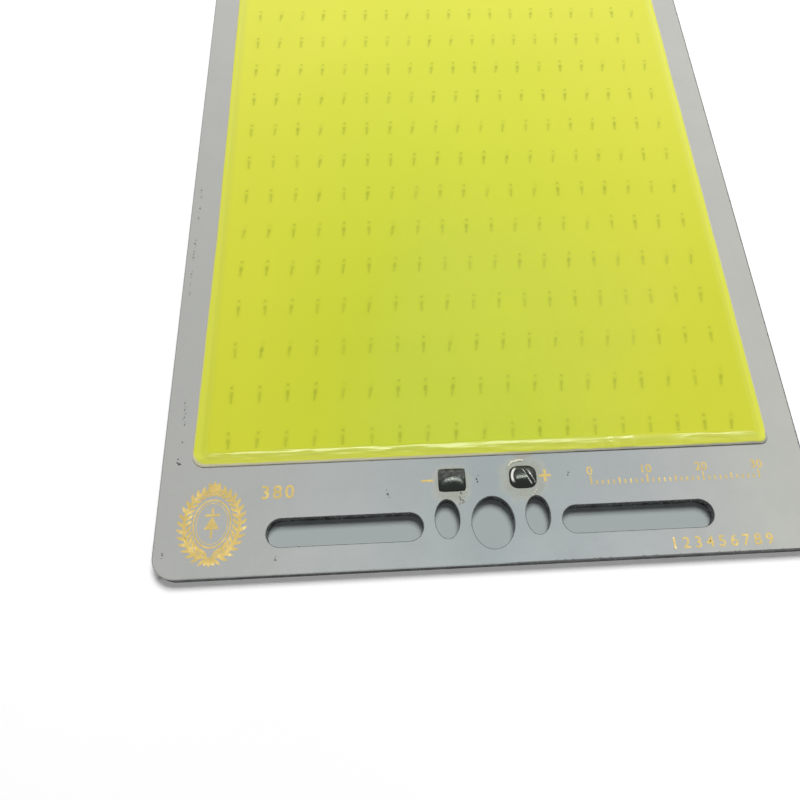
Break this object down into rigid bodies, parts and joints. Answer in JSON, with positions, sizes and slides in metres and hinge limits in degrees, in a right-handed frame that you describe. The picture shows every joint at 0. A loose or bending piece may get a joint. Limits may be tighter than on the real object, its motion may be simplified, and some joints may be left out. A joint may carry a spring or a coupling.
{
  "type": "cob led panel",
  "caption": "Flat rectangular chip-on-board LED panel: slotted aluminium board with a raised yellow phosphor pad and two solder joints.",
  "frame": {"origin": "centre of the board's flat back face, which the panel rests on", "axes": "+Z out of the board through the phosphor pad; +Y along the board's length, away from the end with the two solder joints; +X across the board, from the negative joint to the positive one"},
  "size_m": [0.113, 0.22, 0.003],
  "materials": {
    "aluminium": "rolled sheet, satin, with milled walls in the holes",
    "insulation": "thin filled resin",
    "copper": "etched foil",
    "grey_mask": "screen-printed solder mask, satin, with small specks and scuffs",
    "gold_print": "thin gold-plated print",
    "led_chip": "sapphire die, polished",
    "dam_silicone": "glossy silicone bead, tinted by the phosphor",
    "phosphor_silicone": "glossy yellow phosphor silicone with faint marks over the chips",
    "solder": "dark tin solder, glossy, with flux residue"
  },
  "bodies": {
    "root": {"base_plate": "aluminium", "insulation_layer": "insulation", "negative_copper": "copper", "positive_copper": "copper", "link_strip_01": "copper", "link_strip_02": "copper", "link_strip_03": "copper", "link_strip_04": "copper", "link_strip_05": "copper", "link_strip_06": "copper", "link_strip_07": "copper", "link_strip_08": "copper", "link_strip_09": "copper", "link_strip_10": "copper", "link_strip_11": "copper", "link_strip_12": "copper", "link_strip_13": "copper", "link_strip_14": "copper", "link_strip_15": "copper", "solder_mask": "grey_mask", "chip_row_01": "led_chip", "chip_row_02": "led_chip", "chip_row_03": "led_chip", "chip_row_04": "led_chip", "chip_row_05": "led_chip", "chip_row_06": "led_chip", "chip_row_07": "led_chip", "chip_row_08": "led_chip", "chip_row_09": "led_chip", "chip_row_10": "led_chip", "chip_row_11": "led_chip", "chip_row_12": "led_chip", "chip_row_13": "led_chip", "chip_row_14": "led_chip", "chip_row_15": "led_chip", "chip_row_16": "led_chip", "chip_row_17": "led_chip", "chip_row_18": "led_chip", "chip_row_19": "led_chip", "chip_row_20": "led_chip", "silicone_dam": "dam_silicone", "phosphor_fill": "phosphor_silicone", "negative_joint": "solder", "positive_joint": "solder"}
  },
  "joints": []
}
